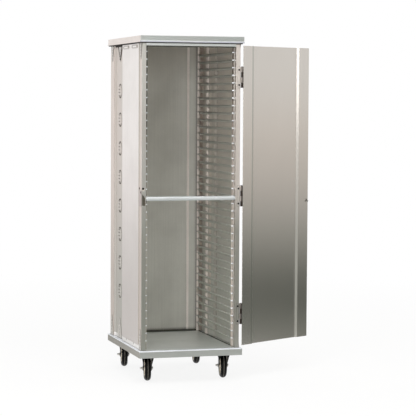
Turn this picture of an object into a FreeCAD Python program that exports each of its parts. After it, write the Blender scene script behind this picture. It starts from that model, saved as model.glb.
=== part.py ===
import FreeCAD, Part
import math
import os

# Enclosed meal tray cart: a tall sheet-metal cabinet on four swivel casters, with one door.
# Millimetres. X runs to the right along the front, Y to the rear, Z up from the floor.
# The plan centre of the cabinet is X 0, Y 0. The door is drawn closed, then swung open.

vec = FreeCAD.Vector

# base and lid
base_width = 535.0
base_depth = 704.0
base_bottom = 133.0
base_height = 35.5
base_wall = 2.0
base_lip = 14.0
lid_width = 541.0
lid_depth = 712.0
lid_top = 1740.5
lid_height = 32.0
lid_wall = 1.5
lid_hem = 9.0
lid_hem_flare = 2.5

# body
side_overhang = 12.0
front_step = 20.5
rear_step = 12.0
sheet = 1.5
post_wall = 2.0
jamb_face = 22.5
jamb_return = 22.0
front_post_side = 47.5
rear_post_side = 71.0
skin_tuck = 18.0
panel_front = 68.0
panel_rear_inset = 279.0
channel_rear_inset = 83.0
panel_proud = 3.0
panel_slope = 4.0
panel_foot = 27.0
channel_depth = 10.0
channel_slope = 10.0

# side vents and top bosses
vent_count = 8
vent_spacing = 150.0
vent_middle = 943.0
vent_inset = 184.5
vent_radius = 34.0
vent_rise = 5.0
vent_slope = 8.0
vent_slots = 4
vent_slot_spacing = 16.5
vent_slot_length = 30.0
vent_slot_height = 4.0
boss_height = 16.0
boss_length = 116.0
boss_rise = 2.0
boss_drop = 19.0
boss_spacing = 182.0

# tray ledges
ledge_count = 39
ledge_pitch = 38.1
ledge_first = 218.0
ledge_shelf = 13.5
ledge_leg = 12.0
ledge_front = 46.0
ledge_lead = 8.0
ledge_toe = 4.0
upright_width = 24.0
stop_inset = 24.0
buffer_count = 5
buffer_spacing = 228.6
buffer_first = 391.0
buffer_width = 9.0
buffer_height = 22.0
buffer_thick = 3.0

# header, cross bar and floor
header_drop = 16.0
header_depth = 24.0
bar_diameter = 21.3
bar_wall = 2.0
bar_height = 930.0
deck_thickness = 2.0

# back and door sheets
form_strip = 77.5
form_slope = 11.0
form_depth = 10.0
door_sheet = 2.0
door_gap = 2.5
door_bottom = 180.5
door_height = 1516.5
door_open = 210.5

# hinges
hinge_count = 3
hinge_spacing = 598.0
hinge_middle = 940.0
hinge_height = 105.0
hinge_knuckles = 4
knuckle_radius = 6.0
pin_radius = 3.0
pin_head = 4.5
hinge_leaf = 2.0
hinge_reach = 7.0
frame_leaf_width = 19.5
door_leaf_width = 30.0
turning_clearance = 0.05
knuckle_gap = 0.4

# latch and strike
pocket_width = 17.8
pocket_low = 896.0
pocket_tall_outer = 58.0
pocket_tall_inner = 36.0
cup_wall = 1.5
cup_depth = 26.0
cup_below = 14.0
cup_above = 6.0
strike_height = 76.0
strike_depth = 44.0
strike_rise = 36.0
strike_thick = 1.5
socket_above = 23.0
socket_radius = 6.5
socket_inset = 9.25
latch_plate_width = 44.0
latch_plate_height = 70.0
latch_plate_thick = 2.0
latch_edge = 1.5
ear_thick = 3.0
ear_gap = 0.5
ear_half = 10.5
pivot_out = 9.0
pivot_radius = 2.5
pivot_boss = 5.5
hook_width = 7.0
hook_shank = 4.0
hook_clear = 1.5
hook_nose = 5.0
hook_drop = 6.0
slot_side = 0.5
slot_foot = 0.3
slot_height = 11.0
thumb_reach = 29.0
thumb_width = 24.0
thumb_thick = 3.0
pull_length = 128.0
pull_out = 38.0
pull_radius = 5.0
pull_below = 106.0
pull_inset = 30.0

# tie tabs at the lid and at the base
tab_thick = 1.5
tab_drop = 85.0
tab_rise = 105.0
tab_tip = 9.0
tab_post_width = 42.0
tab_channel_width = 92.0
tab_rear_width = 60.0

# casters
caster_inset_x = 67.5
caster_inset_y = 102.0
caster_height = 155.0
wheel_radius = 63.5
wheel_width = 32.0
tyre_thickness = 13.0
tyre_round = 7.0
caster_trail = 32.0
caster_heading = -10.0
caster_plate_x = 79.0
caster_plate_y = 105.0
caster_plate_thick = 5.0
bolt_run_x = 58.0
bolt_run_y = 84.0
bolt_hole = 4.3
race_radius = 31.0
race_gap = 0.3
ring_gap = 1.0
ring_wall = 2.5
ring_height = 6.0
fork_sheet = 4.0
fork_gap = 37.0
fork_half = 29.0
fork_boss = 13.0
fork_level = 132.0
king_radius = 7.0
king_head = 11.0
king_head_height = 7.5
axle_radius = 5.0
axle_across = 15.0
axle_head = 6.0
axle_end = 9.0
hub_radius = 13.0
hub_side_gap = 0.4
web_thick = 9.0
rim_thick = 6.0
rim_width = 27.0
rail_wall = 3.0
rail_width = 120.0

# places worked out once
body_left = -base_width / 2 + side_overhang
body_right = -body_left
base_top = base_bottom + base_height
front_edge = -base_depth / 2
body_front = front_edge + front_step
body_rear = base_depth / 2 - rear_step
lid_under = lid_top - lid_wall
skirt_bottom = lid_top - lid_height
hinge_x = body_right + hinge_reach
hinge_y = body_front - knuckle_radius
door_inner = body_front - door_gap
door_outer = door_inner - door_sheet
rear_edge = base_depth / 2
panel_rear = rear_edge - panel_rear_inset
channel_rear = rear_edge - channel_rear_inset
vent_line = rear_edge - vent_inset
stop_line = rear_edge - stop_inset
pocket_high_outer = pocket_low + pocket_tall_outer
pocket_high_inner = pocket_low + pocket_tall_inner
socket_height = pocket_high_outer + socket_above
strike_middle = pocket_low + strike_rise
pull_middle = pocket_low - pull_below
caster_track = base_width - 2 * caster_inset_x
caster_run = base_depth - 2 * caster_inset_y


def box(x0, x1, y0, y1, z0, z1):
    solid = Part.makeBox(x1 - x0, y1 - y0, z1 - z0)
    solid.translate(vec(x0, y0, z0))
    return solid


def prism(points, z0, z1):
    # closed outline in plan, pulled straight up
    wire = Part.makePolygon([vec(x, y, z0) for x, y in points] + [vec(points[0][0], points[0][1], z0)])
    return Part.Face(wire).extrude(vec(0, 0, z1 - z0))


def side_prism(points, x0, x1):
    # closed outline in the Y-Z plane, pulled along X
    wire = Part.makePolygon([vec(x0, y, z) for y, z in points] + [vec(x0, points[0][0], points[0][1])])
    return Part.Face(wire).extrude(vec(x1 - x0, 0, 0))


def rod(x, y, z, radius, length, direction):
    return Part.makeCylinder(radius, length, vec(x, y, z), direction)


def join(shapes):
    whole = shapes[0]
    for shape in shapes[1:]:
        whole = whole.fuse(shape)
    return whole.removeSplitter()


def strip_outline(points, thick):
    # outline of a bent sheet: the given line is one face, the other lies to its left
    normals = []
    for (ax, ay), (bx, by) in zip(points, points[1:]):
        length = math.hypot(bx - ax, by - ay)
        normals.append((-(by - ay) / length, (bx - ax) / length))
    far = []
    for index, (px, py) in enumerate(points):
        before = normals[max(index - 1, 0)]
        after = normals[min(index, len(normals) - 1)]
        sum_x = before[0] + after[0]
        sum_y = before[1] + after[1]
        scale = 2 * thick / (sum_x ** 2 + sum_y ** 2)
        far.append((px + sum_x * scale, py + sum_y * scale))
    return points + far[::-1]


def bent_sheet(points, thick, z0, z1):
    return prism(strip_outline(points, thick), z0, z1)


def rounded_plate(x0, x1, y_mid, z_mid, length, height, corner):
    # a plate across X whose Y-Z outline is a rectangle with round corners
    plate = box(x0, x1, y_mid - length / 2, y_mid + length / 2, z_mid - height / 2, z_mid + height / 2)
    edges = [edge for edge in plate.Edges if abs(edge.Length - (x1 - x0)) < 1e-6
             and abs(edge.Vertexes[0].X - edge.Vertexes[-1].X) > 1e-6]
    return plate.makeFillet(corner, edges)


def mirrored(shape):
    return shape.mirror(vec(0, 0, 0), vec(1, 0, 0))


def base_frame():
    # skirt with a top flange and an inward lip at its foot
    half_x = base_width / 2
    half_y = base_depth / 2
    skirt = box(-half_x, half_x, -half_y, half_y, base_bottom, base_top)
    inner_x = half_x - base_wall
    inner_y = half_y - base_wall
    room = box(-inner_x, inner_x, -inner_y, inner_y, base_bottom + base_wall, base_top - base_wall)
    top_x = body_right - 30.0
    top_y = body_front + 30.0
    top_hole = box(-top_x, top_x, top_y, body_rear - 30.0, base_top - base_wall, base_top)
    foot_x = half_x - base_lip
    foot_y = half_y - base_lip
    foot_hole = box(-foot_x, foot_x, -foot_y, foot_y, base_bottom, base_bottom + base_wall)
    return skirt.cut(room).cut(top_hole).cut(foot_hole)


def floor_deck():
    # floor sheet lying on the base flange, notched round the four posts
    low = base_top
    high = base_top + deck_thickness
    edge = sheet + post_wall
    deck = box(body_left + edge, body_right - edge, body_front + 2.0, body_rear, low, high)
    reach = jamb_face
    for side in (-1, 1):
        near = side * (body_right + 1.0)
        far = side * (body_right - reach)
        x0 = min(near, far)
        x1 = max(near, far)
        deck = deck.cut(box(x0, x1, body_front, body_front + front_post_side, low, high))
        deck = deck.cut(box(x0, x1, body_rear - rear_post_side, body_rear, low, high))
        groove = side * (body_right - channel_depth - sheet)
        g0 = min(near, groove)
        g1 = max(near, groove)
        deck = deck.cut(box(g0, g1, panel_rear - 2.0, channel_rear + 2.0, low, high))
    return deck


def caster_rail(y_mid):
    # open channel across the underside of the floor that carries two caster plates
    half = rail_width / 2
    top = base_top - base_wall
    low = caster_height
    reach = base_width / 2 - base_wall
    inner = half - rail_wall
    rail = box(-reach, reach, y_mid - half, y_mid + half, low, top)
    return rail.cut(box(-reach, reach, y_mid - inner, y_mid + inner, low + rail_wall, top))


def front_post():
    # right-hand front post: return, jamb face and outer side bent from one sheet
    inner = body_right - jamb_face
    line = [
        (inner, body_front + jamb_return),
        (inner, body_front),
        (body_right, body_front),
        (body_right, body_front + front_post_side),
    ]
    return bent_sheet(line, post_wall, base_top, lid_under)


def rear_post():
    inner = body_right - jamb_face
    line = [
        (body_right, body_rear - rear_post_side),
        (body_right, body_rear),
        (inner, body_rear),
        (inner, body_rear - 16.0),
    ]
    return bent_sheet(line, post_wall, base_top, lid_under)


def pocket_shape():
    # latch pocket in the left jamb: level foot, top edge sloping down towards the opening
    left = body_left + post_wall + 0.5
    right = left + pocket_width
    y0 = body_front - 1.0
    outline = [(left, pocket_low), (right, pocket_low), (right, pocket_high_inner), (left, pocket_high_outer)]
    wire = Part.makePolygon([vec(x, y0, z) for x, z in outline + outline[:1]])
    return Part.Face(wire).extrude(vec(0, post_wall + 1.5, 0))


def left_front_post():
    post = mirrored(front_post())
    hole = rod(body_left + socket_inset, body_front - 1, socket_height, socket_radius, post_wall + 2, vec(0, 1, 0))
    return post.cut(pocket_shape()).cut(hole)


def strike_cup():
    # box behind the latch pocket, open to the front
    y0 = body_front + post_wall
    y1 = y0 + cup_depth
    left = body_left + post_wall
    right = body_left + jamb_face - post_wall
    low = pocket_low - cup_below
    high = pocket_high_outer + cup_above
    shell = box(left, right, y0, y1, low, high)
    wall = cup_wall
    return shell.cut(box(left + wall, right - wall, y0, y1 - wall, low + wall, high - wall))


def strike_plate():
    # plate on the outside of the left post, beside the latch pocket
    y = body_front + 2.0 + strike_depth / 2
    x = body_left
    return rounded_plate(x - strike_thick, x, y, strike_middle, strike_depth, strike_height, 3.0)


def door_buffer():
    # rubber buffer pressed into the round hole above the pocket
    x = body_left + socket_inset
    stem = rod(x, body_front, socket_height, socket_radius, post_wall, vec(0, 1, 0))
    back = rod(x, body_front + post_wall, socket_height, socket_radius + 0.5, 3.0, vec(0, 1, 0))
    return join([stem, back])


def header():
    # channel across the top of the opening
    low = skirt_bottom - header_drop
    half = body_right - jamb_face
    front = body_front + 1.0
    line = [
        (front + header_depth, lid_under),
        (front, lid_under),
        (front, low),
        (front + header_depth, low),
    ]
    outline = strip_outline(line, sheet)
    return side_prism(outline, -half, half)


def cross_bar():
    half = body_right - jamb_face
    y = body_front + 1.0 + bar_diameter / 2
    tube = rod(-half, y, bar_height, bar_diameter / 2, 2 * half, vec(1, 0, 0))
    bore = rod(-half, y, bar_height, bar_diameter / 2 - bar_wall, 2 * half, vec(1, 0, 0))
    return tube.cut(bore)


def frustum(x_wall, rise, y0, y1, z0, z1, slope):
    # solid block on an X wall whose four sides slope in by the same amount
    near = [(y0, z0), (y1, z0), (y1, z1), (y0, z1)]
    far = [(y0 + slope, z0 + slope), (y1 - slope, z0 + slope), (y1 - slope, z1 - slope), (y0 + slope, z1 - slope)]
    wires = []
    for x, ring in ((x_wall, near), (x_wall + rise, far)):
        wires.append(Part.makePolygon([vec(x, y, z) for y, z in ring + ring[:1]]))
    return Part.makeLoft(wires, True, True)


def side_vents(shape, x_floor):
    # pressed round vents: each dome stands on the channel floor and is slotted across
    first = vent_middle - vent_spacing * (vent_count - 1) / 2
    x_in = x_floor - sheet
    x_out = x_floor + vent_rise
    crown = vent_radius - vent_slope
    out = vec(1, 0, 0)
    half = vent_slot_length / 2
    for step in range(vent_count):
        z = first + step * vent_spacing
        dome = Part.makeCone(vent_radius, crown, vent_rise, vec(x_floor, vent_line, z), out)
        room = Part.makeCone(vent_radius, crown, vent_rise, vec(x_in, vent_line, z), out)
        shape = shape.fuse(dome).cut(room)
        lowest = z - vent_slot_spacing * (vent_slots - 1) / 2 - vent_slot_height / 2
        for row in range(vent_slots):
            low = lowest + row * vent_slot_spacing
            high = low + vent_slot_height
            shape = shape.cut(box(x_in - 1.0, x_out + 1.0, vent_line - half, vent_line + half, low, high))
    return shape


def top_bosses(shape, x_face):
    # two long pressed bosses under the lid
    z = skirt_bottom - boss_drop
    middle = (front_edge + panel_front + panel_rear) / 2
    for side in (-1, 1):
        y = middle + side * boss_spacing / 2
        boss = rounded_plate(x_face - 0.5, x_face + boss_rise, y, z, boss_length, boss_height, boss_height / 2 - 0.2)
        shape = shape.fuse(boss)
    return shape


def side_skin():
    # right-hand side sheet: tucked edge, raised panel, recessed channel, tucked edge
    wall = body_right - post_wall
    floor = body_right - channel_depth
    y_front = front_edge + panel_front
    y_rear = panel_rear
    y_end = channel_rear
    line = [
        (wall, y_front - skin_tuck),
        (wall, y_rear),
        (floor, y_rear + channel_slope),
        (floor, y_end - channel_slope),
        (wall, y_end),
        (wall, y_end + skin_tuck),
    ]
    skin = bent_sheet(line, sheet, base_top, lid_under)
    z0 = base_top + panel_foot
    z1 = skirt_bottom - 1.0
    rise = panel_proud + post_wall
    y0 = y_front + 0.5
    y1 = y_rear - 0.5
    outer = frustum(wall, rise, y0, y1, z0, z1, panel_slope)
    inner = frustum(wall - sheet, rise, y0, y1, z0, z1, panel_slope)
    skin = skin.fuse(outer).cut(inner)
    skin = side_vents(skin, floor)
    skin = top_bosses(skin, body_right + panel_proud)
    return skin.removeSplitter()


def formed_line(width, inner_y, out_y):
    # plan line of the formed sheet: flat strips, sloped bends, middle pushed outwards
    half = width / 2
    return [
        (-half, inner_y),
        (-half + form_strip, inner_y),
        (-half + form_strip + form_slope, out_y),
        (half - form_strip - form_slope, out_y),
        (half - form_strip, inner_y),
        (half, inner_y),
    ]


def back_panel():
    line = formed_line(2 * body_right, body_rear, body_rear + form_depth)
    return bent_sheet(line, sheet, base_top, lid_under)


def lid():
    # folded cap with a hem that flares a little at its lower edge
    half_x = lid_width / 2 - lid_hem_flare
    half_y = lid_depth / 2 - lid_hem_flare
    solids = []
    for shrink in (0.0, lid_wall):
        hx = half_x - shrink
        hy = half_y - shrink
        top = lid_top - shrink
        bend = skirt_bottom + lid_hem
        upper = box(-hx, hx, -hy, hy, bend, top)
        rings = []
        for z, grow in ((skirt_bottom, lid_hem_flare), (bend, 0.0)):
            corners = [(-hx - grow, -hy - grow), (hx + grow, -hy - grow), (hx + grow, hy + grow), (-hx - grow, hy + grow)]
            rings.append(Part.makePolygon([vec(x, y, z) for x, y in corners + corners[:1]]))
        solids.append(upper.fuse(Part.makeLoft(rings, True, True)))
    return solids[0].cut(solids[1]).removeSplitter()


def ledge(x_wall, z_top):
    # angle runner: a level shelf over a short leg, with its front end turned down
    tip = x_wall - ledge_shelf
    y0 = front_edge + ledge_front
    y1 = stop_line
    under = z_top - sheet
    shelf = box(tip, x_wall, y0, y1, under, z_top)
    leg = box(x_wall - sheet, x_wall, y0 + ledge_lead, y1, under - ledge_leg, under)
    toe = box(tip, x_wall - sheet, y0, y0 + sheet, under - ledge_toe, under)
    return join([shelf, leg, toe])


def ledges():
    wall = body_right - jamb_face
    return Part.makeCompound([ledge(wall, ledge_first + step * ledge_pitch) for step in range(ledge_count)])


def upright(x_skin, y_mid):
    # U-shaped spacer between the side sheet and the ledges
    wall = body_right - jamb_face
    half = upright_width / 2
    z0 = base_top + deck_thickness
    z1 = lid_under
    block = box(wall, x_skin, y_mid - half, y_mid + half, z0, z1)
    return block.cut(box(wall + sheet, x_skin, y_mid - half + sheet, y_mid + half - sheet, z0, z1))


def uprights():
    flat = body_right - post_wall - sheet
    floor = body_right - channel_depth - sheet
    half = upright_width / 2
    places = [
        (flat, front_edge + panel_front - skin_tuck + half - 1.0),
        (floor, vent_line + vent_slot_length / 2 + half),
    ]
    return Part.makeCompound([upright(x, y) for x, y in places])


def pan_stop():
    # vertical angle behind the ledges that the trays come up against
    wall = body_right - jamb_face
    y = stop_line
    z0 = base_top + deck_thickness
    face = box(wall - ledge_shelf, wall, y, y + sheet, z0, lid_under)
    arm = box(wall - sheet, wall, y + sheet, body_rear - post_wall, z0, lid_under)
    return join([face, arm])


def stop_buffers():
    wall = body_right - jamb_face
    y = stop_line
    x0 = wall - ledge_shelf + 2.0
    pads = []
    for step in range(buffer_count):
        z = buffer_first + step * buffer_spacing
        pad = box(x0, x0 + buffer_width, y - buffer_thick, y, z - buffer_height / 2, z + buffer_height / 2)
        pads.append(pad)
        pads.append(mirrored(pad))
    return Part.makeCompound(pads)


def tab(x_face, y_mid, width, z_root, z_tip):
    # flat tapered tab: full width at the lid or base, narrow at its tip
    shoulder = z_root + (z_tip - z_root) * 0.12
    half = width / 2
    tip = tab_tip / 2
    outline = [
        (y_mid - half, z_root),
        (y_mid + half, z_root),
        (y_mid + half, shoulder),
        (y_mid + tip, z_tip),
        (y_mid - tip, z_tip),
        (y_mid - half, shoulder),
    ]
    return side_prism(outline, x_face, x_face + tab_thick)


def tie_tabs(z_root, z_tip):
    places = [
        (body_right, body_front + 1.0 + tab_post_width / 2, tab_post_width),
        (body_right - channel_depth, vent_line, tab_channel_width),
        (body_right, body_rear - 5.0 - tab_rear_width / 2, tab_rear_width),
    ]
    tabs = []
    for x, y, width in places:
        one = tab(x, y, width, z_root, z_tip)
        tabs.append(one)
        tabs.append(mirrored(one))
    return Part.makeCompound(tabs)


def door_panel():
    line = formed_line(2 * body_right, door_inner, door_inner - form_depth)
    panel = bent_sheet(line, -door_sheet, door_bottom, door_bottom + door_height)
    return panel.cut(lever_slot(door_outer - 1.0, door_inner + 1.0))


def hinge_levels():
    first = hinge_middle - hinge_spacing * (hinge_count - 1) / 2
    return [first + step * hinge_spacing for step in range(hinge_count)]


def hinge_leaf_at(level, y_plate, x_plate, first_knuckle, hole):
    # one leaf: a plate, its share of the knuckles and the necks between them
    low = level - hinge_height / 2
    pitch = hinge_height / hinge_knuckles
    x0 = min(x_plate, hinge_x - knuckle_radius - 0.5)
    leaf = box(x0, hinge_x - knuckle_radius - 0.5, y_plate, y_plate + hinge_leaf, low, low + hinge_height)
    for index in range(first_knuckle, hinge_knuckles, 2):
        z0 = low + index * pitch + knuckle_gap / 2
        length = pitch - knuckle_gap
        barrel = rod(hinge_x, hinge_y, z0, knuckle_radius, length, vec(0, 0, 1))
        neck = box(x0, hinge_x, y_plate, y_plate + hinge_leaf, z0, z0 + length)
        leaf = leaf.fuse(barrel).fuse(neck)
    bore = rod(hinge_x, hinge_y, low - 1.0, hole, hinge_height + 2.0, vec(0, 0, 1))
    return leaf.cut(bore).removeSplitter()


def frame_leaves():
    x = hinge_x - frame_leaf_width
    y = body_front - hinge_leaf
    return Part.makeCompound([hinge_leaf_at(z, y, x, 1, pin_radius) for z in hinge_levels()])


def door_leaves():
    x = hinge_x - door_leaf_width
    y = door_outer - hinge_leaf
    return Part.makeCompound([hinge_leaf_at(z, y, x, 0, pin_radius + turning_clearance) for z in hinge_levels()])


def hinge_pins():
    pins = []
    for level in hinge_levels():
        low = level - hinge_height / 2
        top = low + hinge_height - knuckle_gap / 2
        pin = rod(hinge_x, hinge_y, low, pin_radius, top - low, vec(0, 0, 1))
        head = rod(hinge_x, hinge_y, top, pin_head, 2.5, vec(0, 0, 1))
        pins.append(join([pin, head]))
    return Part.makeCompound(pins)


def hook_middle():
    return body_left + post_wall + 0.5 + pocket_width / 2


def pivot_level():
    return pocket_low + hook_clear + hook_shank / 2


def pivot_y():
    return door_outer - pivot_out


def lever_slot(y0, y1):
    # the lever's shank rests on the foot of this slot and lifts within it
    half = hook_width / 2 + slot_side
    low = pivot_level() - hook_shank / 2 - slot_foot
    return box(hook_middle() - half, hook_middle() + half, y0, y1, low, low + slot_height)


def latch_bracket():
    # backing plate on the door with two ears for the lever's pin
    z = pivot_level()
    y = door_outer
    x0 = -body_right + latch_edge
    high = z + latch_plate_height / 2
    plate = box(x0, x0 + latch_plate_width, y - latch_plate_thick, y, z - latch_plate_height / 2, high)
    ear_half_gap = hook_width / 2 + ear_gap
    middle = hook_middle()
    for side in (-1, 1):
        a = middle + side * ear_half_gap
        b = a + side * ear_thick
        ear = box(min(a, b), max(a, b), pivot_y(), y, z - ear_half, z + ear_half)
        nose = rod(min(a, b), pivot_y(), z, ear_half, ear_thick, vec(1, 0, 0))
        trim = box(min(a, b), max(a, b), y, y + ear_half, z - ear_half, z + ear_half)
        plate = plate.fuse(ear).fuse(nose.cut(trim))
    plate = plate.cut(lever_slot(y - latch_plate_thick - 1.0, y + 1.0))
    reach = ear_half_gap + ear_thick + 2.0
    bore = rod(middle - reach, pivot_y(), z, pivot_radius, 2 * reach, vec(1, 0, 0))
    return plate.cut(bore).removeSplitter()


def latch_pin():
    reach = hook_width / 2 + ear_gap + ear_thick
    pin = rod(hook_middle() - reach, pivot_y(), pivot_level(), pivot_radius, 2 * reach, vec(1, 0, 0))
    head = rod(hook_middle() + reach, pivot_y(), pivot_level(), pivot_radius + 1.5, 1.5, vec(1, 0, 0))
    return join([pin, head])


def latch_lever():
    # hook behind the jamb, shank through the door, thumb pad outside, turning on the pin
    x0 = hook_middle() - hook_width / 2
    x1 = x0 + hook_width
    z = pivot_level()
    y = pivot_y()
    nose = body_front + post_wall + 1.0
    half = hook_shank / 2
    outline = [
        (y, z + half),
        (y, z - half),
        (nose, z - half),
        (nose, z - half - hook_drop),
        (nose + 1.5, z - half - hook_drop),
        (nose + hook_nose, z - half),
        (nose + hook_nose, z + half),
    ]
    arm = side_prism(outline, x0, x1)
    boss = rod(x0, y, z, pivot_boss, hook_width, vec(1, 0, 0))
    middle = hook_middle()
    pad = box(middle - thumb_width / 2, middle + thumb_width / 2, y - thumb_reach, y - 13.0, z, z + thumb_thick)
    stem = box(x0, x1, y - 14.0, y, z, z + thumb_thick)
    bore = rod(x0 - 1, y, z, pivot_radius + turning_clearance, hook_width + 2, vec(1, 0, 0))
    return join([arm, boss, stem, pad]).cut(bore)


def door_pull():
    # bent rod handle on the door's closing edge
    x = -body_right + pull_inset
    y = door_outer
    far = y - pull_out
    half = pull_length / 2
    pieces = []
    for side in (-1, 1):
        z = pull_middle + side * half
        pieces.append(rod(x, far, z, pull_radius, pull_out, vec(0, 1, 0)))
        pieces.append(Part.makeSphere(pull_radius, vec(x, far, z)))
        pieces.append(rod(x, y - 3.0, z, pull_radius + 4.0, 3.0, vec(0, 1, 0)))
    pieces.append(rod(x, far, pull_middle - half, pull_radius, pull_length, vec(0, 0, 1)))
    return join(pieces)


def caster_places():
    x = caster_track / 2
    y = caster_run / 2
    return [
        ("front_left", -x, -y),
        ("front_right", x, -y),
        ("rear_left", -x, y),
        ("rear_right", x, y),
    ]


def caster_plate():
    # top plate with four bolt holes and the upper race under it
    low = caster_height - caster_plate_thick
    hx = caster_plate_x / 2
    hy = caster_plate_y / 2
    plate = box(-hx, hx, -hy, hy, low, caster_height)
    for x in (-bolt_run_x / 2, bolt_run_x / 2):
        for y in (-bolt_run_y / 2, bolt_run_y / 2):
            plate = plate.cut(rod(x, y, low - 1.0, bolt_hole, caster_plate_thick + 2.0, vec(0, 0, 1)))
    race_low = fork_level + fork_sheet + race_gap
    race = rod(0, 0, race_low, race_radius, low - race_low, vec(0, 0, 1))
    bore = rod(0, 0, race_low - 1.0, king_radius, low - race_low + 1.0, vec(0, 0, 1))
    return plate.fuse(race).cut(bore).removeSplitter()


def king_pin():
    low = fork_level - race_gap
    top = caster_height - caster_plate_thick
    pin = rod(0, 0, low, king_radius, top - low, vec(0, 0, 1))
    head = rod(0, 0, low - king_head_height, king_head, king_head_height, vec(0, 0, 1))
    return join([pin, head])


def fork_leg():
    # side plate from the crown back to the axle
    x0 = fork_gap / 2
    outline = [
        (-22.0, fork_level),
        (-22.0, fork_level - 14.0),
        (caster_trail - fork_boss, wheel_radius + 3.0),
        (caster_trail + fork_boss, wheel_radius + 3.0),
        (caster_trail + fork_boss - 2.0, fork_level - 14.0),
        (fork_half, fork_level),
    ]
    leg = side_prism(outline, x0, x0 + fork_sheet)
    boss = rod(x0, caster_trail, wheel_radius, fork_boss, fork_sheet, vec(1, 0, 0))
    shoulder = box(x0, fork_half, -22.0, fork_half, fork_level - 5.0, fork_level)
    return join([leg, boss, shoulder])


def caster_fork():
    crown = rod(0, 0, fork_level, race_radius + ring_gap + ring_wall, fork_sheet, vec(0, 0, 1))
    ring_low = fork_level + fork_sheet
    ring = rod(0, 0, ring_low, race_radius + ring_gap + ring_wall, ring_height, vec(0, 0, 1))
    ring = ring.cut(rod(0, 0, ring_low, race_radius + ring_gap, ring_height, vec(0, 0, 1)))
    leg = fork_leg()
    fork = join([crown, ring, leg, mirrored(leg)])
    hole = rod(0, 0, fork_level - 1.0, king_radius + turning_clearance, fork_sheet + 2.0, vec(0, 0, 1))
    reach = fork_gap / 2 + fork_sheet + 1.0
    bore = rod(-reach, caster_trail, wheel_radius, axle_radius, 2 * reach, vec(1, 0, 0))
    return fork.cut(hole).cut(bore).removeSplitter()


def hexagon(x0, length):
    # six-sided bolt head or nut lying along X on the axle line
    ring = []
    for step in range(7):
        angle = math.radians(60 * step)
        radius = axle_across / math.sqrt(3.0)
        ring.append(vec(x0, caster_trail + radius * math.cos(angle), wheel_radius + radius * math.sin(angle)))
    return Part.Face(Part.makePolygon(ring)).extrude(vec(length, 0, 0))


def caster_axle():
    side = fork_gap / 2 + fork_sheet
    start = -side - axle_head - axle_end
    shaft = rod(start, caster_trail, wheel_radius, axle_radius, 2 * side + axle_head + axle_end, vec(1, 0, 0))
    return join([shaft, hexagon(-side - axle_head, axle_head), hexagon(side, axle_head)])


def lathe(points):
    # outline of (radius, x) pairs turned about the axle line
    ring = [vec(x, caster_trail, wheel_radius + radius) for radius, x in points + points[:1]]
    return Part.Face(Part.makePolygon(ring)).revolve(vec(0, caster_trail, wheel_radius), vec(1, 0, 0), 360)


def wheel_core():
    hub = fork_gap / 2 - hub_side_gap
    rim = wheel_radius - tyre_thickness
    bore = axle_radius + turning_clearance
    inner = rim - rim_thick
    web = web_thick / 2
    half = rim_width / 2
    return lathe([
        (bore, -hub), (hub_radius, -hub), (hub_radius + 3.0, -web), (inner, -web), (inner, -half), (rim, -half),
        (rim, half), (inner, half), (inner, web), (hub_radius + 3.0, web), (hub_radius, hub), (bore, hub),
    ])


def caster_tyre():
    rim = wheel_radius - tyre_thickness
    half = wheel_width / 2
    outline = [(rim, half - 2.0), (rim, -half + 2.0)]
    for side in (-1, 1):
        for step in range(4):
            turn = math.radians(30 * step if side < 0 else 90 - 30 * step)
            radius = wheel_radius - tyre_round * (1 - math.sin(turn))
            outline.append((radius, side * (half - tyre_round * (1 - math.cos(turn)))))
    return lathe(outline)


def cabinet_nodes():
    rear = rear_post()
    skin = side_skin()
    runner = ledges()
    spacer = uprights()
    stop = pan_stop()
    return {
        "base_frame": base_frame(),
        "floor_deck": floor_deck(),
        "caster_rail_front": caster_rail(-caster_run / 2),
        "caster_rail_rear": caster_rail(caster_run / 2),
        "front_post_left": left_front_post(),
        "front_post_right": front_post(),
        "rear_post_left": mirrored(rear),
        "rear_post_right": rear,
        "header": header(),
        "cross_bar": cross_bar(),
        "side_skin_left": mirrored(skin),
        "side_skin_right": skin,
        "back_panel": back_panel(),
        "ledges_left": mirrored(runner),
        "ledges_right": runner,
        "uprights_left": mirrored(spacer),
        "uprights_right": spacer,
        "tray_stop_left": mirrored(stop),
        "tray_stop_right": stop,
        "stop_buffers": stop_buffers(),
        "lid": lid(),
        "tie_tabs_top": tie_tabs(lid_under, skirt_bottom - tab_drop),
        "tie_tabs_foot": tie_tabs(base_top, base_top + tab_rise),
        "strike_plate": strike_plate(),
        "strike_cup": strike_cup(),
        "door_buffer": door_buffer(),
        "hinge_leaves_frame": frame_leaves(),
        "hinge_pins": hinge_pins(),
    }


def door_nodes():
    return {
        "door_panel": door_panel(),
        "hinge_leaves_door": door_leaves(),
        "latch_bracket": latch_bracket(),
        "latch_pin": latch_pin(),
        "latch_lever": latch_lever(),
        "door_pull": door_pull(),
    }


def caster_nodes():
    nodes = {}
    kings = []
    pieces = {
        "caster_plate": caster_plate(),
        "caster_fork": caster_fork(),
        "caster_axle": caster_axle(),
        "wheel_core": wheel_core(),
        "caster_tyre": caster_tyre(),
    }
    for name, shape in pieces.items():
        if name != "caster_plate":
            shape.rotate(vec(0, 0, 0), vec(0, 0, 1), caster_heading)
    for place, x, y in caster_places():
        for name, shape in pieces.items():
            nodes[name + "_" + place] = shape.translated(vec(x, y, 0))
        kings.append(king_pin().translated(vec(x, y, 0)))
    nodes["king_pins"] = Part.makeCompound(kings)
    return nodes


def swung_open(shape):
    turned = shape.copy()
    turned.rotate(vec(hinge_x, hinge_y, 0), vec(0, 0, 1), door_open)
    return turned


def all_nodes():
    nodes = cabinet_nodes()
    for name, shape in door_nodes().items():
        nodes[name] = swung_open(shape)
    nodes.update(caster_nodes())
    return nodes


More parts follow.
